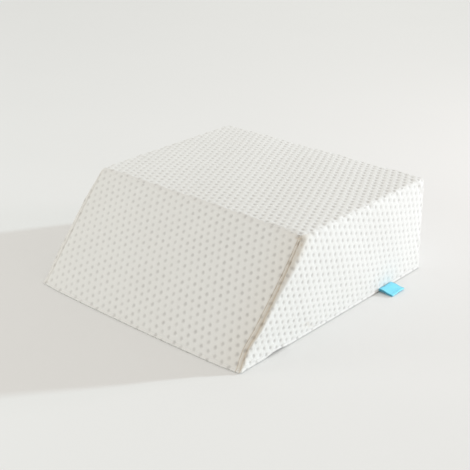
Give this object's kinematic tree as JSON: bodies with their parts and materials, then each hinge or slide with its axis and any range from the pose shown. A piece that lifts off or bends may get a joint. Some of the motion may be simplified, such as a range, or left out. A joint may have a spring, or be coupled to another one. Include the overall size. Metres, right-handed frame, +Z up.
{
  "type": "wedge pillow",
  "caption": "Filled wedge pillow in a dimpled knit cover: sloping front, nearly level raised top, upright back and sides, folded ribbon label in the base seam.",
  "frame": {"origin": "middle of the flat base, between its four corners", "axes": "+X to the side with the label, +Y from the low front edge to the upright back, +Z up"},
  "size_m": [0.573, 0.5762, 0.2077],
  "materials": {
    "knit_cover": "off-white dimpled jersey knit, matt",
    "label_ribbon": "light blue satin ribbon"
  },
  "bodies": {
    "root": {"wedge_cushion": "knit_cover", "side_label": "label_ribbon"}
  },
  "joints": []
}
